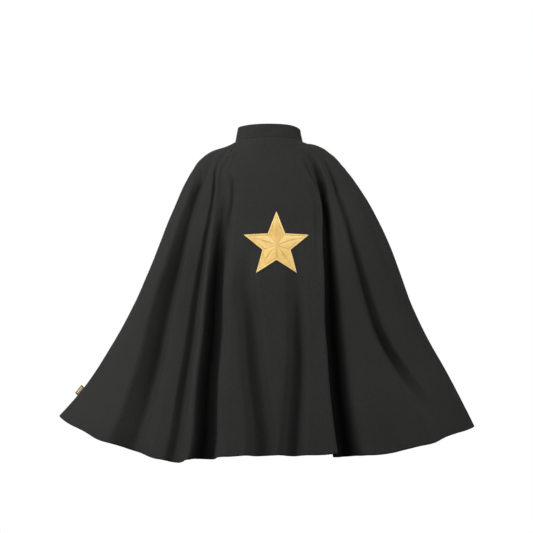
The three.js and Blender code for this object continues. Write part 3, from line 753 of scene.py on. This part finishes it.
def add_collar(cloth, stiff, twill, thread):
    face = add_cloth("collar_face", collar_net(COLLAR_TURNS, *FACE_LAYER), CLOTH_LAYER, cloth)
    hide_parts("collar_outer")
    inside = add_cloth("collar_inside", collar_net(COLLAR_TURNS, *INSIDE_LAYER), CLOTH_LAYER, cloth)
    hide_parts("collar_facing")
    held_in = COLLAR_TURNS[4:-4]
    stiffener_net = collar_net(held_in, *STIFFENER_AT, drop=STIFFENER_INSET, foot=1.4)
    stiffener = add_cloth("collar_stiffener", stiffener_net, STIFFENER_LAYER, stiff)
    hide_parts("collar_interfacing")
    turns = np.linspace(-TAPE_TURN, TAPE_TURN, 180)
    height = np.linspace(TAPE_TOP, TAPE_FOOT, 10)[:, None] + 0 * turns
    tape_net = collar_points(turns, height, np.full_like(height, TAPE_DEPTH))
    tape = add_cloth("neck_twill_tape", tape_net, TAPE_LAYER, twill)
    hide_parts("neck_tape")
    inward = -neck_plan(turns)[1]
    one_row = np.ones((1, len(turns)))
    rows = []
    for level in TAPE_ROWS:
        path = collar_points(turns, one_row * level, one_row * TAPE_STITCH_DEPTH)[0]
        rows.append(stitches(path, np.concatenate([inward, 0 * inward[:, :1]], 1)))
    add_threads("neck_tape_stitches", rows, thread)


# ---------- closure at the throat
THROAT_TURN = 160
throat_edges = collar_points(THROAT_TURN + np.array([-1, 0, 1]),
                             np.array([[0.0], [COLLAR_HEIGHT]]) + np.zeros(3), np.zeros((2, 3)))[:, 1]
THROAT_FOOT = throat_edges[0] * [0, 1, 1]
THROAT_UP = unit((throat_edges[1] - throat_edges[0]) * [0, 1, 1])
THROAT_OUT = np.array([0, THROAT_UP[2], -THROAT_UP[1]])
STRAP_MIDDLE, STRAP_HEIGHT, STRAP_ROOT, STRAP_TIP, STRAP_CORNER = 15, 18, 30, -31, 5
STRAP_HINGE = 12.4  # where it folds
STRAP_DEEP = 0.7  # half its thickness
STRAP_SEWN, STRAP_OFF, STRAP_RISE = 0.9, 2.1, (21, 7)  # its lift at the root, the rest, and where
# The seam round the strap; its corners say where they start, their length and their drop.
SEAM_HEIGHT, SEAM_START, SEAM_CORNER, SEAM_END = 6.8, 21, (-25.6, 3.1, 3), -28.7
BOX_NEAR, BOX_FAR, BOX_HIGH = 21.5, 28, 7  # the stitched box over the root
STITCH_OFF = 0.6  # from the strap's middle
PATCH_LENGTH, PATCH_HEIGHT, PATCH_MIDDLE = 17, 14, -20.5
PATCH_LAYER, LOOP_TAPE_OFF, HOOK_TAPE_OFF = 0.45, 0.28, 2.05
LOOPS_OFF, HOOKS_OFF = 0.45, 1.85  # where the pile starts, off the collar
PILE_RADIUS = 0.09


def at_throat(x, up, off):
    """Points over the throat in metres: across, above the strap's middle line, off the collar."""
    x, up, off = np.broadcast_arrays(x, up, off)
    place = THROAT_UP * (STRAP_MIDDLE + up)[..., None] + THROAT_OUT * off[..., None]
    place[..., 0] = x
    return THROAT_FOOT + place * MM


def strap_half(x):
    """Half the strap's height at x, with its tip rounded."""
    past = np.clip(STRAP_CORNER - (x - STRAP_TIP), 0, STRAP_CORNER)
    return STRAP_HEIGHT / 2 - STRAP_CORNER + np.sqrt(STRAP_CORNER**2 - past**2)


def strap_lift(x):
    """How far the strap's middle stands off the collar: it is sewn down at its root."""
    return STRAP_SEWN + STRAP_OFF * smooth((STRAP_RISE[0] - x) / STRAP_RISE[1])


def add_strap(cloth, thread):
    x = np.concatenate([np.linspace(STRAP_ROOT, 14, 34), np.linspace(13.6, 11.2, 9),
                        np.linspace(10.7, -26, 70), np.linspace(-26.3, STRAP_TIP + 0.02, 24)])
    across = np.linspace(1, -1, 37)[:, None]
    edge = strap_half(x) * (1 - np.abs(across))
    groove = 0.18 * bump(edge, 2.2, 0.7) * (x < 22) + 0.25 * (1 - smooth(edge / 1.5))
    net = at_throat(x, across * strap_half(x), strap_lift(x) + 0 * across)
    top = normals_of(net) * (STRAP_DEEP - groove[:, :, None]) * MM
    vertices, faces, uv = skin(net + top, net - normals_of(net) * STRAP_DEEP * MM, flat_places(net))
    strap = add_object("throat_strap", vertices, faces, cloth, uv)
    seam = np.concatenate([np.linspace(SEAM_START, -25, 60), np.linspace(-25, SEAM_END, 16)])
    corner, corner_length, corner_drop = SEAM_CORNER
    past = np.clip((corner - seam) / corner_length, 0, 1)
    high = SEAM_HEIGHT - corner_drop * (1 - np.sqrt(1 - past**2))
    outline = np.stack([np.concatenate([seam, seam[::-1]]), np.concatenate([high, -high[::-1]])], 1)
    box = np.array([[BOX_FAR, BOX_HIGH], [BOX_NEAR, BOX_HIGH], [BOX_NEAR, -BOX_HIGH],
                    [BOX_FAR, -BOX_HIGH], [BOX_FAR, BOX_HIGH], [BOX_NEAR, -BOX_HIGH]])
    cross = np.array([[BOX_FAR, -BOX_HIGH], [BOX_NEAR, BOX_HIGH]])
    rows = []
    for line in (outline, box, cross):
        run = run_of(line)
        place = np.linspace(0, run[-1], max(8, int(run[-1] * 2)))
        px, py = along_path(place, run, line).T
        rows.append(stitches(at_throat(px, py, strap_lift(px) + STITCH_OFF), THROAT_OUT))
    seams = add_object("throat_strap_stitches", *join(rows)[:2], thread)
    for piece in (strap, seams):
        tuple(at_throat(STRAP_HINGE + 1.1, 0, 3.0))
        tuple(at_throat(STRAP_HINGE - 1.1, 0, 3.0))
        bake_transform(piece)
    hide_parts("strap_root", "closure_strap")


def patch_net(off):
    x = np.linspace(PATCH_MIDDLE + PATCH_LENGTH / 2, PATCH_MIDDLE - PATCH_LENGTH / 2, 24)
    up = np.linspace(PATCH_HEIGHT / 2, -PATCH_HEIGHT / 2, 20)[:, None]
    return at_throat(x, up, off)


def pile_places(pitch, inset=1.2):
    """Middles of the hooks or loops over a patch."""
    reach, high = PATCH_LENGTH / 2 - inset, PATCH_HEIGHT / 2 - inset
    x = np.arange(-reach, reach + 0.01, pitch)
    up = np.arange(-high, high + 0.01, pitch)
    grid = np.stack(np.meshgrid(x, up), 2).reshape(-1, 2)
    shift = np.array([[noise.noise(Vector((*p, seed))) for seed in (0.5, 7.5)] for p in grid * 3.1])
    return grid + shift * 0.5, shift[:, 0] * 7


def pile(grid, spin, arc, low, side):
    """Loops or hooks standing off a patch. arc: (along, above) points of one, in millimetres."""
    along, above = np.array(arc, float).T
    x = PATCH_MIDDLE + grid[:, 0, None] + along * np.cos(spin)[:, None]
    up = grid[:, 1, None] + along * np.sin(spin)[:, None]
    points = at_throat(x, up, low + side * above)
    sideways = np.stack([-np.sin(spin), np.zeros_like(spin), np.cos(spin)], 1)
    return threads(points, np.repeat(sideways[:, None], len(arc), 1), np.full(len(arc), PILE_RADIUS * MM))


LOOP = [(-0.3, 0), (-0.36, 0.28), (-0.2, 0.5), (0.05, 0.56), (0.28, 0.46), (0.36, 0.2), (0.3, 0)]
HOOK = [(0, 0), (-0.02, 0.25), (0.04, 0.45), (0.2, 0.54), (0.34, 0.46), (0.36, 0.32)]


def add_patches(loop_look, hook_look):
    loops = add_cloth("loop_tape", patch_net(LOOP_TAPE_OFF), PATCH_LAYER, loop_look)
    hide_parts("loop_patch")
    grid, spin = pile_places(0.8)
    add_threads("loops", [pile(grid, spin, LOOP, LOOPS_OFF, 1)], loop_look)
    hooks = add_cloth("hook_tape", patch_net(HOOK_TAPE_OFF), PATCH_LAYER, hook_look,
                      body="strap")
    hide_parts("hook_patch")
    grid, spin = pile_places(1.0)
    hook_pile = pile(grid, spin * 0.15, HOOK, HOOKS_OFF, -1)
    add_threads("hooks", [hook_pile], hook_look, body="strap")


# ---------- star emblem
STAR_X, STAR_Z, STAR_RADIUS, STAR_WAIST = 15, -228, 70, 0.43
# The shares of the star's radius that its field, satin threads, backing and border reach, and the
# heights over the back between which the field and the backing lie.
FIELD, FIELD_THREADS, BACKING, BORDER = 0.97, 0.87, 0.98, (1.0, 0.86)
FIELD_HEIGHTS, BACKING_HEIGHTS = (-0.1, 0.35), (-1.7, -1.3)
THREAD_PITCH, FIELD_RADIUS, BORDER_RADIUS, BORDER_COUNT = 0.7, 0.42, 0.4, 68
THREAD_TAPER = np.array([0.8, 1, 1, 1, 1, 0.7])
BORDER_TAPER = np.array([0.7, 1, 1, 1, 1, 0.7])
upper_net = NET[DOWN // 10:DOWN * 2 // 3 + 1]
BACK_TREE = BVHTree.FromPolygons(upper_net.reshape(-1, 3).tolist(),
                                 net_faces(*upper_net.shape[:2]).tolist())


def on_back(flat, height):
    """Points (x, z) in millimetres laid onto the back, and lifted off it: points and normals."""
    places = np.asarray(flat, float).reshape(-1, 2)
    found = [BACK_TREE.ray_cast(Vector((x * MM, -1, z * MM)), Vector((0, 1, 0)))[:2] for x, z in places]
    points = np.array([place for place, _ in found])
    out = np.array([normal for _, normal in found])
    out *= -np.sign(out[:, 1:2])
    shape = np.asarray(flat).shape[:-1]
    lifted = points.reshape(*shape, 3) + out.reshape(*shape, 3) * np.asarray(height)[..., None] * MM
    return lifted, out.reshape(*shape, 3)


def star_corner(k, share):
    turn = math.pi / 2 + k * math.pi / 5
    reach = STAR_RADIUS * share * (STAR_WAIST if k % 2 else 1)
    return np.array([STAR_X + reach * math.cos(turn), STAR_Z + reach * math.sin(turn)])


def half_arm(arm, side, share, along, across):
    """Points of half an arm: along its middle line from the centre, and across from it."""
    tip = STAR_RADIUS * share
    notch = tip * STAR_WAIST * np.array([math.cos(math.pi / 5), math.sin(math.pi / 5)])
    half = np.where(along < notch[0], notch[1] * along / notch[0],
                    notch[1] * (tip - along) / (tip - notch[0]))
    turn = math.pi / 2 + arm * 2 * math.pi / 5
    forward = np.array([math.cos(turn), math.sin(turn)])
    sideways = np.array([-forward[1], forward[0]]) * side
    offset = np.maximum(half, 0.12) * across
    return [STAR_X, STAR_Z] + along[..., None] * forward + offset[..., None] * sideways


def star_patch(share, low, high):
    """The star as ten closed half arms between two heights over the back."""
    parts = []
    for arm in range(5):
        for side in (1, -1):
            along = np.linspace(0.3, STAR_RADIUS * share - 0.3, 40)[:, None] + np.zeros(8)
            flat = half_arm(arm, side, share, along, np.linspace(0, 1, 8) * np.ones((40, 1)))
            faces = [on_back(flat, np.full(along.shape, height))[0] for height in (high, low)]
            if side > 0:
                faces = [face[:, ::-1] for face in faces]
            parts.append(skin(*faces, flat * MM))
    return join(parts)


def field_threads(share):
    """Satin threads from each arm's middle line to its edges, highest at the middle line."""
    parts = []
    rise = np.linspace(0, 1, 6)
    for arm in range(5):
        for side in (1, -1):
            start = np.arange(1.2, STAR_RADIUS * share - 0.6, THREAD_PITCH)[:, None] + np.zeros(6)
            flat = half_arm(arm, side, share, start, rise * np.ones(start.shape))
            height = 1.15 - 0.65 * rise**2
            points, out = on_back(flat, height * np.ones(start.shape))
            parts.append(threads(points, out, FIELD_RADIUS * MM * THREAD_TAPER))
    return parts


def border_threads():
    """Satin threads across the border, from its outer edge over its crown to its inner edge."""
    parts = []
    share = np.linspace(*BORDER, 6)
    height = 0.25 + 1.25 * np.sin(np.linspace(0.12, 1, 6) * math.pi)**0.7
    for k in range(10):
        place = (np.arange(BORDER_COUNT) + 0.5)[:, None] / BORDER_COUNT
        flat = np.stack([star_corner(k, s) * (1 - place) + star_corner(k + 1, s) * place for s in share], 1)
        points, out = on_back(flat, height * np.ones(flat.shape[:2]))
        parts.append(threads(points, out, BORDER_RADIUS * MM * BORDER_TAPER))
    return parts


def add_emblem(gold, stiff):
    vertices, faces, uv = star_patch(FIELD, *FIELD_HEIGHTS)
    base = add_object("star_field", vertices, faces, gold, uv)
    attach(base, "cape")
    field = add_threads("star_threads", field_threads(FIELD_THREADS), gold)
    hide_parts("emblem_star")
    border = add_threads("star_border_threads", border_threads(), gold)
    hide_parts("emblem_border")
    vertices, faces, uv = star_patch(BACKING, *BACKING_HEIGHTS)
    backing = add_object("star_backing", vertices, faces, stiff, uv)
    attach(backing, "cape")
    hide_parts("emblem_backing")


# ---------- labels
JOINTS = {joint["name"]: joint for joint in frame["record"]["behaviour"]["joints"]}
TAB_REACH, TAB_LENGTH, TAB_LAYER, TAB_GAP, TAB_BULGE = 12, 22, 0.26, 0.17, 0.2
TAB_BARS = ((2.2, 0.9), (4.1, 4.0), (9.1, 0.9))  # where each gold bar starts, and its width
BAR_END, BAR_PITCH, BAR_RADIUS = 8.4, 0.55, 0.27
LABEL_WIDTH, LABEL_LENGTH, LABEL_THICKNESS = 28, 34, 0.32
LABEL_CURL, LABEL_RIPPLE, LABEL_SEAM = 1.1, 0.25, 1.6


def tab_place(reach, length, off):
    """Points of the woven tab: out from the cape's edge, along it, and off the tab's middle."""
    joint = JOINTS["side_tab_flex"]
    root, down = np.array(joint["pos_m"]), np.array(joint["axis"])
    middle = np.mean(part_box("woven_tab"), axis=0)
    out = unit(middle - root - down * (middle - root).dot(down))
    face = np.cross(out, down)
    reach, length, off = np.broadcast_arrays(reach, length, off)
    return root + (out * reach[..., None] + down * length[..., None] + face * off[..., None]) * MM


def add_tab(ribbon, gold):
    bend = np.linspace(math.pi / 2, -math.pi / 2, 9)
    straight = np.linspace(0, TAB_REACH - 0.5, 16)
    reach = np.concatenate([straight, straight[-1] + TAB_GAP * np.cos(bend), straight[::-1]])
    off = np.concatenate([np.full(16, TAB_GAP), TAB_GAP * np.sin(bend), np.full(16, -TAB_GAP)])
    spread = TAB_BULGE * np.sin(np.clip(reach / TAB_REACH, 0, 1) * math.pi) * np.sign(off)
    length = np.linspace(-TAB_LENGTH / 2, TAB_LENGTH / 2, 30)
    net = tab_place(reach[:, None], length, (off + spread)[:, None])
    tab = add_cloth("side_ribbon", net, TAB_LAYER, ribbon,
                    body="side_tab")
    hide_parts("woven_tab")
    place = np.arange(-BAR_END, BAR_END + 0.1, BAR_PITCH)[:, None]
    arch = 0.1 * np.sin(np.linspace(0.1, 0.9, 5) * math.pi)
    face = tab_place(0.0, 0.0, 1 / MM) - tab_place(0.0, 0.0, 0.0)
    parts = []
    for start, width in TAB_BARS:
        across = start + np.linspace(0, 1, 5) * width
        lift = TAB_GAP + TAB_BULGE * np.sin(across / TAB_REACH * math.pi) + TAB_LAYER / 2 + arch
        points = tab_place(across, place, lift)
        up = np.broadcast_to(face, points.shape)
        parts.append(threads(points, up, BAR_RADIUS * MM * np.array([0.6, 1, 1, 1, 0.6])))
    add_threads("side_ribbon_bars", parts, gold, body="side_tab")


def add_care_label(satin, thread):
    top = np.array(JOINTS["label_flip"]["pos_m"])
    x = np.linspace(-LABEL_WIDTH / 2, LABEL_WIDTH / 2, 24)
    down = np.linspace(0, LABEL_LENGTH, 34)[:, None]
    curl = LABEL_CURL * (down / LABEL_LENGTH)**2 * (0.4 + 0.6 * (x * 2 / LABEL_WIDTH)**2)
    curl += LABEL_RIPPLE * np.sin(x * 0.31 + down * 0.12)
    net = np.stack([x + 0 * down, curl * smooth(down / 8), -down + 0 * x], 2) * MM + top
    label = add_cloth("care_tag", net, LABEL_THICKNESS, satin,
                      body="label")
    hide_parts("care_label")
    path = np.stack([x, np.full_like(x, LABEL_THICKNESS / 2), np.full_like(x, -LABEL_SEAM)], 1) * MM + top
    row = stitches(path, np.array([0, 1.0, 0]))
    add_threads("care_tag_stitches", [row], thread, body="label")


# ---------- making it
add_camera()
for light in LIGHTS:
    add_light(*light)
add_stage()

black_cloth = shell_look()
stiff = felt_look()
gold = gold_look()
black_thread = nylon_look("black thread", (0.012, 0.012, 0.012), (0.03, 0.03, 0.03), 0.5, 1500.0)
white_thread = nylon_look("white thread", (0.6, 0.59, 0.55), (0.8, 0.79, 0.75), 0.5, 1500.0)
twill = Look("neck tape", (0.014, 0.014, 0.014), 0.75).woven(
    (0.009, 0.009, 0.009), (0.022, 0.022, 0.022), 1.2 * MM, 0.1 * MM, twill=True)
ribbon = Look("ribbon", (0.013, 0.012, 0.012), 0.45).woven(
    (0.009, 0.008, 0.008), (0.02, 0.019, 0.018), 0.4 * MM, 0.03 * MM)
satin = Look("label satin", (0.78, 0.76, 0.71), 0.4).woven(
    (0.68, 0.66, 0.61), (0.82, 0.8, 0.75), 0.35 * MM, 0.02 * MM)
loop_nylon = nylon_look("loop nylon", (0.008, 0.008, 0.009), (0.024, 0.024, 0.026), 0.9, 900.0)
hook_nylon = nylon_look("hook nylon", (0.008, 0.008, 0.009), (0.018, 0.018, 0.02), 0.45, 500.0)

add_shell(black_cloth)
add_lining(lining_look())
add_collar(black_cloth, stiff, twill, black_thread)
add_strap(black_cloth, black_thread)
add_patches(loop_nylon, hook_nylon)
add_emblem(gold, stiff)
add_tab(ribbon, gold)
add_care_label(satin, white_thread)
